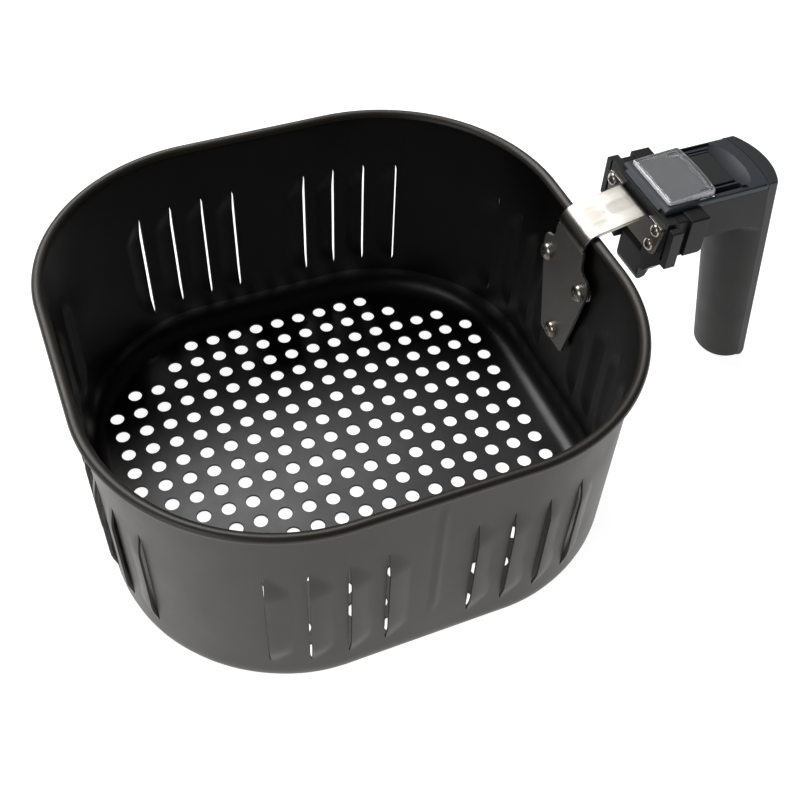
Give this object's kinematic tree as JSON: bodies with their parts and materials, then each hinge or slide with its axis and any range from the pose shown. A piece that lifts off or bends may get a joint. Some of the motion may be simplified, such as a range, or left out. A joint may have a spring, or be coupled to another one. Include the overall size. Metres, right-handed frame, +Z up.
{
  "type": "removable air fryer basket with latch handle",
  "caption": "Square perforated frying basket with louvred walls, a steel strap bracket and a drop-down handle with a guarded latch release button.",
  "frame": {"origin": "centre of the basket's flat underside, on the surface that the basket stands on", "axes": "+Z up out of the basket's mouth, -Y from the basket towards the handle, +X across the handle"},
  "size_m": [0.2112, 0.3204, 0.1205],
  "materials": {
    "nonstick_coating": "satin non-stick coating on pressed steel",
    "stainless_bracket": "brushed along the strap",
    "steel_fasteners": "bright",
    "dark_fasteners": "zinc",
    "front_plate_plastic": "fine satin",
    "handle_plastic": "fine satin",
    "panel_plastic": "fine satin",
    "cover_plastic": "fine satin",
    "button_plastic": "satin",
    "lever_plastic": "satin",
    "clear_guard": "clear polycarbonate",
    "spring_steel": "bright"
  },
  "bodies": {
    "basket": {"basket_shell": "nonstick_coating", "handle_bracket": "stainless_bracket", "bracket_spacers": "steel_fasteners", "bracket_screws": "steel_fasteners", "nut_washers": "steel_fasteners", "bracket_nuts": "steel_fasteners", "front_plate": "front_plate_plastic", "plate_screws": "steel_fasteners", "handle_body": "handle_plastic", "top_panel": "panel_plastic", "rear_cover": "cover_plastic", "cover_screws": "dark_fasteners", "lever_bracket": "dark_fasteners", "bracket_top_screws": "dark_fasteners", "lever_pin": "spring_steel", "pin_clips": "dark_fasteners", "latch_spring": "spring_steel"},
    "guard": {"button_guard": "clear_guard"},
    "button": {"release_button": "button_plastic"},
    "lever": {"latch_lever": "lever_plastic"}
  },
  "joints": [
    {"name": "guard_slide", "type": "slide", "parent": "basket", "child": "guard", "axis": [0, -1, 0], "range_m": [0, 0.0128]},
    {"name": "button_press", "type": "slide", "parent": "basket", "child": "button", "axis": [0, 0, -1], "range_m": [0, 0.003], "stiffness_N_per_m": 900, "springref_m": -0.002, "deforming": ["latch_spring"]},
    {"name": "lever_pivot", "type": "hinge", "parent": "basket", "child": "lever", "pos_m": [0, -0.146, 0.106], "axis": [1, 0, 0], "range_deg": [0, 11.5]}
  ],
  "couplings": [
    {"joint": "lever_pivot", "follows": "button_press", "rad_per_m": 66.3}
  ]
}
